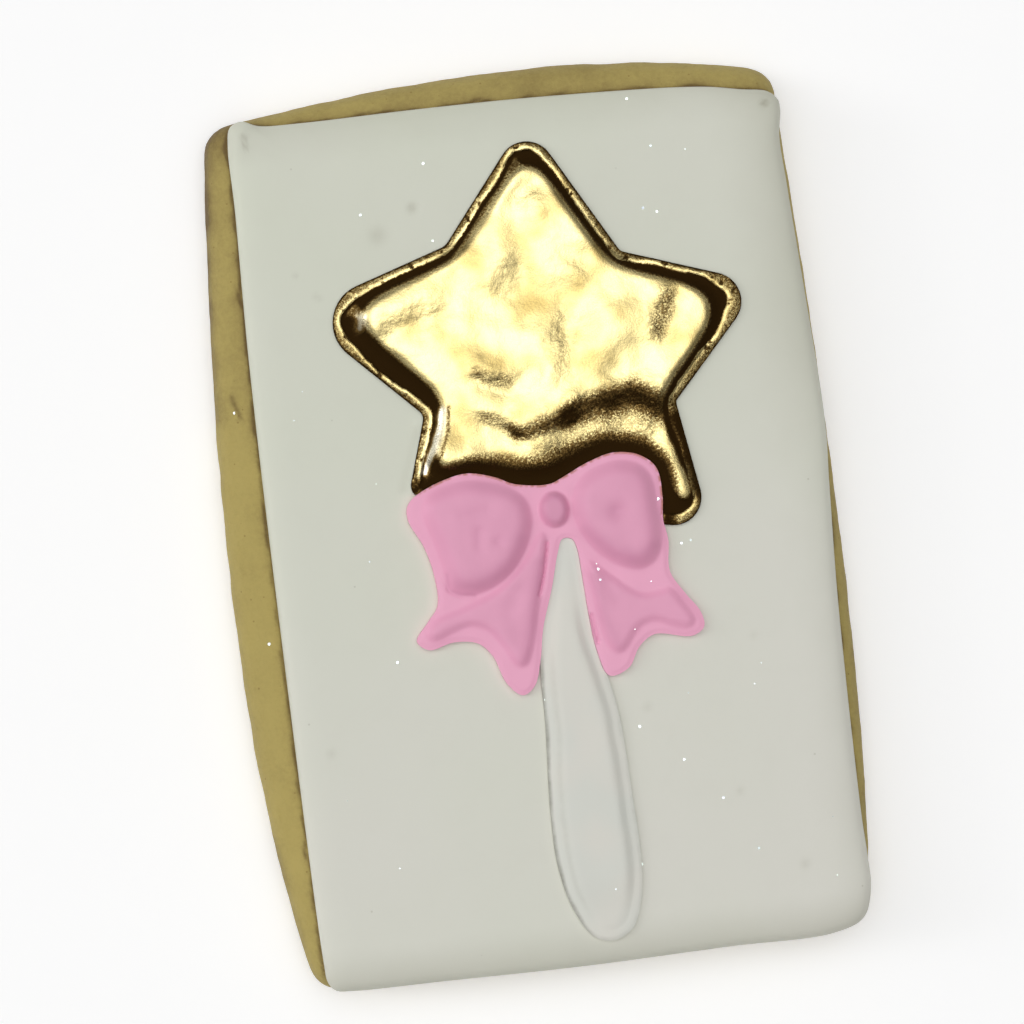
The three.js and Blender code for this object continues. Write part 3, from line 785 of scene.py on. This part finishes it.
def star_relief(tray):
    """The star's height, its rubbed paint and painted shade, and its painted highlights."""
    ragged = 0.1 * tray.waves(1.4, 1.0) + 0.07 * tray.waves(0.5, 2.0)
    inside = tray.depth(star_outline)
    slope = np.gradient(inside, tray.cell)
    depth = inside + ragged
    off_bow = ragged - tray.depth(bow_outline)
    x, y = tray.points[..., 0], tray.points[..., 1]
    extra = np.interp(x, *zip(*OFF_BOW))
    hand = tray.by_hand(2.5, 0.5) + tray.by_hand(0.8, 0.15) - tray.points

    flare = sum(amount * stroke(hand, path, width) for path, width, amount in RIM_FLARES)
    in_rim = (depth + 0.3 * tray.waves(4.0, 8.0)) / (1 + flare)
    nicks = ease(tray.waves(0.9, 21.0) + 0.7 * tray.waves(0.4, 22.0), 0.3, 0.6)
    rim = rounded(STAR_RIM, 0.06)(in_rim) + 0.05 * tray.waves(0.7, 4.0) - 0.1 * nicks

    inset = STAR_BODY["inset"] + SHADED_INSET * faces(slope, SHADED_WAY, 0.3, 0.95)
    within = np.minimum(depth - inset, off_bow - 0.6 * extra - STAR_BODY["off_bow"])
    at_tips = np.interp(x, *zip(*STAR_TIPS)) * ease(y, *ABOVE_LEGS)
    sharp, blunt = (5 * tray.mound(within, STAR_BODY[name]) - 2.5 for name in ("roundness", "tip_roundness"))
    within = sharp + (blunt - sharp) * at_tips
    for ridge, reach in RIDGES:
        off_ridge = to_path(hand.reshape(-1, 2), ridge)[0].reshape(depth.shape)
        within = np.maximum(within, reach - off_ridge)
    body = tray.mound(within, STAR_BODY["softness"])
    worked = 0.42 * tray.waves(6.5, 3.0) + 0.09 * tray.waves(2.2, 5.0)
    lapped = tray.mound(tray.depth(np.array(STAR_LAP)) + 3 * ragged, 0.9) - 1
    worked += 0.55 * lapped * ease(x, -5, 7)

    # painted shade: dark in the groove inside the rim, less on shoulders facing the light, dark below the
    # body towards the bow and at the foot, browner on the rim's outer slope, dark in the rim's nicks as
    # chipped paint and painted shade, and dark on the right leg's rim
    lit = faces(slope, LIT_WAY, 0.9, 1.0)
    wear_and_shade = ease(in_rim, RIM_CREST, RIM_FOOT) * (1 - ease(body, 0.5, 0.96))
    wear_and_shade *= 1 - 0.65 * lit * ease(in_rim, 1.1, 1.4)
    shade_below_body = 1 - ease(off_bow, 0.3 + 0.2 * extra, 3.0 + 1.4 * extra)
    wear_and_shade = np.maximum(wear_and_shade, shade_below_body * (0.5 + 0.5 * ease(off_bow, 0.1, 0.45)))
    wear_and_shade = np.maximum(wear_and_shade, 0.3 * (1 - stroke_of(np.minimum(in_rim - RIM_CREST, 0), 0.3)))
    wear_and_shade = np.maximum(wear_and_shade, 1 - ease(depth, 0.03, 0.2))
    wear_and_shade = np.maximum(wear_and_shade, 0.65 * nicks * (1 - ease(in_rim, 0.7, 0.9)))
    wear_and_shade = np.maximum(wear_and_shade, stroke(hand, LEG_SHADED_SIDE, 1.0))
    # painted highlights on the left leg's shoulder and the left tip, and shade painted in the leg's crease
    near = tray.by_hand(0.8, 0.08)
    painted_highlight = np.maximum(stroke(near, LEG_HIGHLIGHT, 0.45), 0.8 * stroke(near, TIP_HIGHLIGHT, 0.6))
    wear_and_shade = wear_and_shade * (1 - painted_highlight) + 0.3 * stroke(near, LEG_CREASE_SHADE, 0.22)
    # each fall is rubbed through and also gets painted shade
    for path, towards, width, drop, worn_and_shade in STAR_FALLS:
        rubbed = stroke(hand, path, 0.85 * width)
        worked += drop * fall(hand, path, towards, width) + 0.3 * worn_and_shade * rubbed * tray.waves(0.45, 23.0)
        wear_and_shade += worn_and_shade * rubbed
    height = higher(rim, STAR_BODY["foot"] + body * (STAR_BODY["rise"] + worked), 0.05)
    return lower(height, STAR_BODY["top"], 0.03), {"worn_and_shade": wear_and_shade, "painted_highlight": painted_highlight}


def gold_star():
    outline = cut_outline(star_outline, bow_reach)
    piece = moulded("gold_star", outline, CELL["star"], star_relief)
    stands_for(piece, "star", gold_paint())


def knot_outline():
    angle = np.linspace(0, 2 * math.pi, 90, endpoint=False)
    return np.column_stack(
        [KNOT["x"] + KNOT["across"] / 2 * np.cos(angle), KNOT["y"] + KNOT["tall"] / 2 * np.sin(angle)]
    )


# folds stand up and creases sink in: path, width, height
BOW_FOLDS = [
    ([(0.5, -2.6), (-0.1, -5.3), (-0.8, -7.8)], 0.16, -0.3),
    ([(-3.0, -6.9), (-4.2, -9.4), (-3.6, -12.2)], 0.9, -0.1),
    ([(7.0, -9.2), (6.2, -7.0)], 0.9, -0.1),
    ([(-10.2, -4.6), (-10.1, -6.2), (-8.8, -6.9), (-7.6, -7.1)], 0.22, -0.25),
    ([(4.3, -10.4), (4.6, -13.2)], 0.16, -0.3),
]
LOOP_DIMPLES = [
    ([(8.0, -0.2)], 1.1, -0.25), ([(-6.4, -0.7), (-6.6, -2.2)], 0.6, -0.1), ([(-4.5, -1.8)], 0.6, -0.1),
    ([(-7.8, 1.2), (-5.4, 1.4)], 0.7, -0.07),
]
# where shade is painted as a deeper pink, along the loops' lower edges, beside the knot and along the tails:
# path, width, amount
BOW_PAINTED_SHADE = [
    ([(-9.0, -6.0), (-6.0, -5.9), (-3.2, -4.3), (-1.6, -2.0)], 1.1, 0.5),
    ([(4.4, -2.0), (7.4, -4.4), (9.8, -5.4), (11.4, -4.2)], 1.0, 0.5),
    ([(3.7, 2.6), (3.8, 0.2)], 0.7, 0.3), ([(-1.3, 2.2), (-1.0, -0.4)], 0.7, 0.3),
    ([(-3.2, -14.2), (-2.0, -10.0), (-0.6, -4.5)], 0.7, 0.5),
    ([(6.6, -14.0), (5.4, -10.5), (4.8, -6.5)], 0.7, 0.4),
]


def bow_relief(tray):
    """The bow's height and how deep its pink is, with shade painted in as deeper pink."""
    ragged = 0.06 * tray.waves(1.5, 7.0)
    height = rounded(BOW_FLANGE, 0.06)(tray.depth(bow_outline) + ragged)
    hand = tray.by_hand(2.0, 0.15)
    tone = sum(amount * stroke(hand, path, width) for path, width, amount in BOW_PAINTED_SHADE)
    for tail in (LEFT_TAIL, RIGHT_TAIL):
        body = tray.mound(tray.depth(soft_outline(tail)) - TAIL["inset"], TAIL["softness"])
        height = higher(height, BOW_FLANGE[-1][1] - 0.1 + TAIL["rise"] * body, JOIN)
        tone += 0.5 * body
    for path, width, rise in BOW_FOLDS:
        height += rise * stroke(hand, path, width)
        # shade painted as deeper pink in the creases
        tone -= 2 * rise * stroke(hand, path, width)
    dimples = sum(rise * stroke(hand, path, width) for path, width, rise in LOOP_DIMPLES)
    for loop in (LEFT_LOOP, RIGHT_LOOP):
        body = tray.mound(tray.depth(soft_outline(loop)) - LOOP["inset"], LOOP["softness"])
        height = higher(height, FORM_FOOT + LOOP["rise"] * body + dimples * body, JOIN)
        tone += 0.6 * body
    body = tray.mound(tray.depth(knot_outline()) - KNOT["inset"], KNOT["softness"])
    height = higher(height, FORM_FOOT + KNOT["rise"] * body, JOIN)
    tone += 1.1 * body
    speckled = ease(tray.waves(0.5, 15.0) + 0.4 * tray.waves(1.5, 16.0), -0.4, 0.1)
    at_star = ease(tray.depth(star_outline), 0, 0.5)
    gilded = speckled * at_star * (1 - ease(tray.depth(bow_outline), 0.1, 0.28))
    # shade painted as deeper pink in the loops' dimples
    return height + 0.05 * tray.waves(2.5, 9.0), {"deep_pink_and_shade": tone - 1.5 * dimples, "gilded": gilded}


def pink_bow():
    piece = moulded("pink_bow", bow_outline, CELL["bow"], bow_relief)
    stands_for(piece, "bow", pink_paste())


stick_whole = soft_outline(STICK_EDGE)


def stick_relief(tray):
    """The stick's height, and how dark the shade painted in the crease at its foot is."""
    depth = tray.depth(stick_whole) + 0.12 * tray.waves(3.0, 11.0) + 0.04 * tray.waves(0.8, 12.0)
    x, y = tray.points[..., 0], tray.points[..., 1]
    body = tray.mound(depth - STICK["inset"], STICK["softness"])
    rise = STICK["rise"] * (0.35 + 0.65 * ease(y, -42, -37)) * (0.15 + 0.85 * ease(-y, 7, 14))
    height = higher(rounded(STICK_RIM, 0.1)(depth), STICK["foot"] + rise * body, JOIN)
    # painted shade in the crease at the foot, darker on the left and lower down, and along the raised
    # middle's left edge
    left = ease(1.5 - x, 0, 2)
    foot = (1 - ease(depth, 0.05, 0.45)) * (0.35 + 0.65 * left) * ease(-y, 13, 16)
    foot += 0.2 * stroke_of(depth - 1.25, 0.35) * left * ease(-y, 12, 18)
    return height + body * (0.05 * tray.waves(4.0, 13.0)), {"foot": foot}


def white_stick():
    outline = cut_outline(stick_whole, bow_reach)
    piece = moulded("white_stick", outline, CELL["stick"], stick_relief)
    stands_for(piece, "wand_stick", white_paste())


def soft_section(section, pitch):
    """A section's points set evenly along it, with its bends rounded."""
    points = np.array(section, float)
    fine = evenly(points, round(length_of(points) / pitch))
    for _ in range(2):
        fine[1:-1] = (fine[:-2] + 2 * fine[1:-1] + fine[2:]) / 4
    return fine


# where the dough is browner, partly as real browning and partly as shade painted on its rounded outer edges:
# path, width, amount
DOUGH_BROWN_AND_SHADE = [
    ([(-31.0, 35), (-30.5, 40), (-29.6, 43.5), (-27, 45)], 1.2, 0.6), ([(-31.4, 26), (-31.1, 35)], 0.6, 0.5),
    ([(-29.4, -44), (-30.2, -38), (-31, -30)], 0.9, 0.4), ([(-29, -46)], 2.5, 0.4),
    ([(-31.9, 14), (-31.6, 26), (-31.0, 38)], 0.9, 0.4), ([(-29.9, 16), (-29.3, 14)], 0.3, 0.5),
    ([(31.8, 30), (32.6, 0), (31.8, -40)], 1.2, 0.3),
]


def dough():
    outline = swollen_outline(DOUGH_CORNERS, DOUGH_SWELL, DOUGH_CORNER, DOUGH_STEP)
    piece = slab("baked_slab", outline, soft_section(DOUGH_EDGE, 0.3))
    places = places_of(piece)
    middle = (outline.min(0) + outline.max(0)) / 2
    lumps = np.array([noise.fractal(Vector(p / 4.0), 1.0, 2.2, 3) for p in places])
    show = ease(places[:, 2], 0.3, 1.5) * ease(depth_in(places[:, :2], outline), 6, 5)
    inward = (middle - places[:, :2]) / (np.linalg.norm(middle - places[:, :2], axis=1, keepdims=True) + 1e-9)
    places[:, :2] += inward * (show * (0.12 - 0.12 * lumps))[:, None]
    places[:, 2] += show * ease(places[:, 2], 4, 6) * (0.1 * lumps - 0.08)
    move_to(piece, places)

    flat = places[:, :2] + 0.5 * np.column_stack([waves(places, 2.5, 41.0), waves(places, 2.5, 43.0)])
    off_sheet = -depth_in(flat, soft_outline(ICING_CUT))
    x, y, z = places.T
    # a dark line along the icing's edge, partly a browner seam and partly the sheet's shadow painted on the
    # dough; then browner low on the side, darker towards the top end and the upper left, and the listed
    # strokes
    brown_and_shade = (0.65 * stroke_of(off_sheet, 0.2) + 0.2 * stroke_of(off_sheet, 0.8)) * ease(z, 4.5, 6.0)
    brown_and_shade += 0.15 * waves(places, 6.0, 45.0)
    brown_and_shade += 0.06 + 0.25 * (1 - ease(z, 0.5, 5.5)) + 0.22 * ease(y, 36, 44)
    brown_and_shade += 0.16 * ease(y, 5, 30) * ease(-x, 24, 27)
    brown_and_shade += sum(amount * stroke(flat, path, width) for path, width, amount in DOUGH_BROWN_AND_SHADE)
    paint_on(piece, "brown_and_shade", brown_and_shade)
    stands_for(piece, "cookie_base", baked_dough())


# soft marks on the icing: place, width, rise
ICING_MARKS = [
    ([(-9.34, 33.16)], 0.45, -0.18), ([(-13.2, 30.7)], 0.8, -0.08), ([(-25.8, 42.1)], 0.5, -0.15),
    ([(28.2, 40.2)], 0.3, -0.25), ([(-25.9, 42.8), (-26.4, 41.2)], 0.8, 0.25),
    ([(-10.9, 11.0), (-12.9, 4.0)], 0.6, 0.25),
]
# where the icing is a little greyer, as faint marks and as shade painted in its pits and beside the star's
# lower left leg: path, width, amount
ICING_SMUDGES_AND_SHADE = [
    ([(-9.34, 33.16)], 0.5, 1.0), ([(-13.2, 30.7)], 0.9, 0.7), ([(-25.75, 42.1)], 0.35, 1.2),
    ([(-25.75, 41.2)], 0.3, 1.3), ([(28.2, 40.2)], 0.35, 1.5), ([(-22.1, 27.5)], 0.35, 0.5),
    ([(-20.3, 25.2), (-19.9, 24.9)], 0.35, 0.4),
    ([(-11.5, 10.5), (-13.6, 4.5)], 0.5, 0.5), ([(9.0, -20.5)], 0.5, 0.4), ([(23.5, -38.5)], 0.5, 0.5),
    ([(17.6, -30.2)], 0.4, 0.4), ([(-23.9, -21.5)], 0.5, 0.4), ([(20.8, -14.4)], 0.4, 0.3),
]


def icing():
    outline, wide = four_sided(soft_outline(ICING_CUT), ICING_STEP)
    piece = slab("rolled_icing", outline, soft_section(ICING_EDGE, 0.3), wide)
    places = places_of(piece)
    flat = places[:, :2]
    face = ease(places[:, 2], 8.0, 8.6)
    relief = 0.05 * waves(flat, 16, 17.0) + 0.02 * waves(flat, 5, 19.0)
    for path, width, rise in ICING_MARKS:
        relief += rise * stroke(flat, path, width)
    places[:, 2] += face * relief
    move_to(piece, places)

    x, y = flat.T
    # painted shade where the sheet droops and rounds over at the top, right and bottom and down its sides,
    # then the listed marks and pit shade
    grey_and_shade = 0.45 * ease(y, 38, 43) + 0.5 * ease(x, 21, 29) * ease(y, -2, 20) + 0.25 * ease(x, 24, 30)
    grey_and_shade += 0.8 * ease(-y, 41, 46) + 0.3 * (1 - ease(places[:, 2], 7.2, 8.5))
    grey_and_shade += sum(amount * stroke(flat, path, width) for path, width, amount in ICING_SMUDGES_AND_SHADE)
    paint_on(piece, "grey_and_shade", grey_and_shade)
    warm = 0.15 + 0.55 * ease(-y, -12, 22) + 0.3 * ease(x, 5, 25) + 0.3 * waves(flat, 14, 25.0)
    paint_on(piece, "warm", warm)
    stands_for(piece, "icing_sheet", rolled_icing())


# where the larger glitter flakes lie, and how many faint ones are scattered
GLITTER = [
    (13.9, 42.1), (15.8, 37.0), (14.3, 30.7), (15.7, 30.2), (-7.8, 37.6), (-14.8, 33.0), (-7.7, 29.6),
    (5.4, -5.8), (5.5, -6.9), (12.4, 0.7), (14.4, -4.1), (15.4, -3.9), (-16.1, -13.0), (8.0, -22.4),
    (12.2, -26.3),
    (15.8, -30.7), (18.9, -36.3), (6.6, -36.5), (-28.9, -9.7), (-29.8, 14.3),
]
FAINT_GLITTER = 26


def glitter():
    """Flat six-sided flakes lying on whatever is under each place."""
    bpy.context.view_layer.update()
    names = ("baked_slab", "rolled_icing", "gold_star", "pink_bow", "white_stick")
    below = [bpy.data.objects[name] for name in names]
    dice = random.Random(7)
    spots = [(x, y, dice.uniform(0.13, 0.18)) for x, y in GLITTER]
    scattered = np.array([(dice.uniform(-26, 28), dice.uniform(-44, 41)) for _ in range(FAINT_GLITTER)])
    clear_of_star = scattered[depth_in(scattered, star_outline) < -1]
    spots += [(x, y, dice.uniform(0.05, 0.08)) for x, y in clear_of_star]
    clear_selection()
    flakes = []
    for x, y, radius in spots:
        hits = [piece.ray_cast(Vector((x, y, 20)) * MM, Vector((0, 0, -1))) for piece in below]
        top = max(hit[1].z for hit in hits if hit[0])
        bpy.ops.mesh.primitive_cylinder_add(
            vertices=6, radius=radius * MM, depth=0.04 * MM, location=(x * MM, y * MM, top + 0.01 * MM),
            rotation=(dice.uniform(-0.12, 0.12), dice.uniform(-0.12, 0.12), dice.uniform(0, 3)),
        )
        flakes.append(bpy.context.object)
        paint_on(flakes[-1], "tint", [dice.random()] * 12)
    bpy.ops.object.select_all(action="DESELECT")
    for flake in flakes:
        flake.select_set(True)
    bpy.ops.object.join()
    bpy.ops.object.transform_apply(location=True, rotation=True, scale=True)
    piece = new_piece("glitter")
    stands_for(piece, "icing_sheet", glitter_flakes())


# ---- light, floor and camera ----------------------------------------------------------------------------

# what the camera looks at, how far off it is, how it leans and turns, and the size of what it takes in
LOOKED_AT = Vector((-2.676, 1.019, 8.7)) * MM
DISTANCE = 400 * MM
LEAN, ROLL = math.radians(5.0), math.radians(6.4)
PIXEL = 0.1028 * MM  # what one pixel of a 1024-pixel image covers at the icing
PIXELS = 1024


def camera():
    back = Vector((-math.sin(LEAN), 0, math.cos(LEAN)))
    right = (-back).cross(Vector((math.sin(ROLL), math.cos(ROLL), 0))).normalized()
    above = right.cross(-back)
    lens = bpy.data.cameras.new("camera")
    lens.sensor_width = 36
    lens.lens = DISTANCE / (PIXEL * PIXELS) * lens.sensor_width
    lens.clip_start, lens.clip_end = 0.01, 10
    eye = bpy.data.objects.new("camera", lens)
    place = LOOKED_AT + back * DISTANCE
    eye.matrix_world = Matrix.Translation(place) @ Matrix((right, above, back)).transposed().to_4x4()
    bpy.context.scene.collection.objects.link(eye)
    bpy.context.scene.camera = eye


# soft light from the sky: the direction each part of it comes from, how wide it is in degrees, and how bright
SKY_LIGHTS = [
    ((-0.06, 0.07, 1.0), 23.7, 3.62), ((-0.92, 0.23, 0.33), 7.5, 3.3), ((-0.83, 0.21, 0.515), 7.5, 3.0),
    ((-0.71, 0.18, 0.68), 7.5, 2.6), ((-0.61, 0.42, 0.67), 13, 0.35),
]
SKY_DARK, SKY_EDGE, SKY_SEEN = 0.07, 0.22, 0.92  # between the lights, near the horizon, and to the eye
LAMP_WAY, LAMP_DISTANCE, LAMP_RADIUS, LAMP_RADIANCE = (-0.86, 0.12, 0.45), 0.8, 0.08, 4.0


def studio():
    world = bpy.data.worlds.new("studio")
    sky = Board(world)
    way = sky.node("ShaderNodeTexCoord", output="Generated")
    rise = sky.node("ShaderNodeSeparateXYZ", None, {0: way}, output="Z")
    glow = (1 - rise.between(0.12, 0.32)) * SKY_EDGE + SKY_DARK
    for source, width, strength in SKY_LIGHTS:
        inputs = {0: way, 1: Vector(source).normalized()}
        near = sky.node("ShaderNodeVectorMath", {"operation": "DOT_PRODUCT"}, inputs, output="Value")
        spread = 2 / math.radians(width) ** 2
        lobe = sky.node("ShaderNodeMath", {"operation": "EXPONENT"}, {0: (near - 1) * spread})
        glow = glow + lobe * strength
    seen = sky.node("ShaderNodeLightPath", output="Is Camera Ray")
    glow = glow * (1 - seen) + seen * SKY_SEEN
    sky.links.new(glow.socket, sky.nodes["Background"].inputs["Strength"])
    sky.nodes["Background"].inputs["Color"].default_value = rgb(1, 1, 1)
    bpy.context.scene.world = world
    bpy.context.scene.view_settings.view_transform = "Standard"

    light = bpy.data.lights.new("side_lamp", "AREA")
    light.shape = "DISK"
    light.size = 2 * LAMP_RADIUS
    light.energy = LAMP_RADIANCE * math.pi**2 * LAMP_RADIUS**2
    lamp = bpy.data.objects.new("side_lamp", light)
    way = Vector(LAMP_WAY).normalized()
    lamp.location = LOOKED_AT + way * LAMP_DISTANCE
    lamp.rotation_euler = way.to_track_quat("Z", "Y").to_euler()
    bpy.context.scene.collection.objects.link(lamp)


def floor():
    finish = Finish("pale_floor", Roughness=0.9)
    finish.shader.inputs["Base Color"].default_value = rgb(0.95, 0.95, 0.95)
    finish.shader.inputs["Emission Color"].default_value = rgb(1, 1, 1)
    finish.shader.inputs["Emission Strength"].default_value = 0.25
    bpy.ops.object.select_all(action="DESELECT")
    bpy.ops.mesh.primitive_plane_add(size=3, location=(0, 0, 0))
    plane = new_piece("floor")
    plane.data.materials.append(finish.material)


camera()
studio()
floor()
dough()
icing()
gold_star()
pink_bow()
white_stick()
glitter()
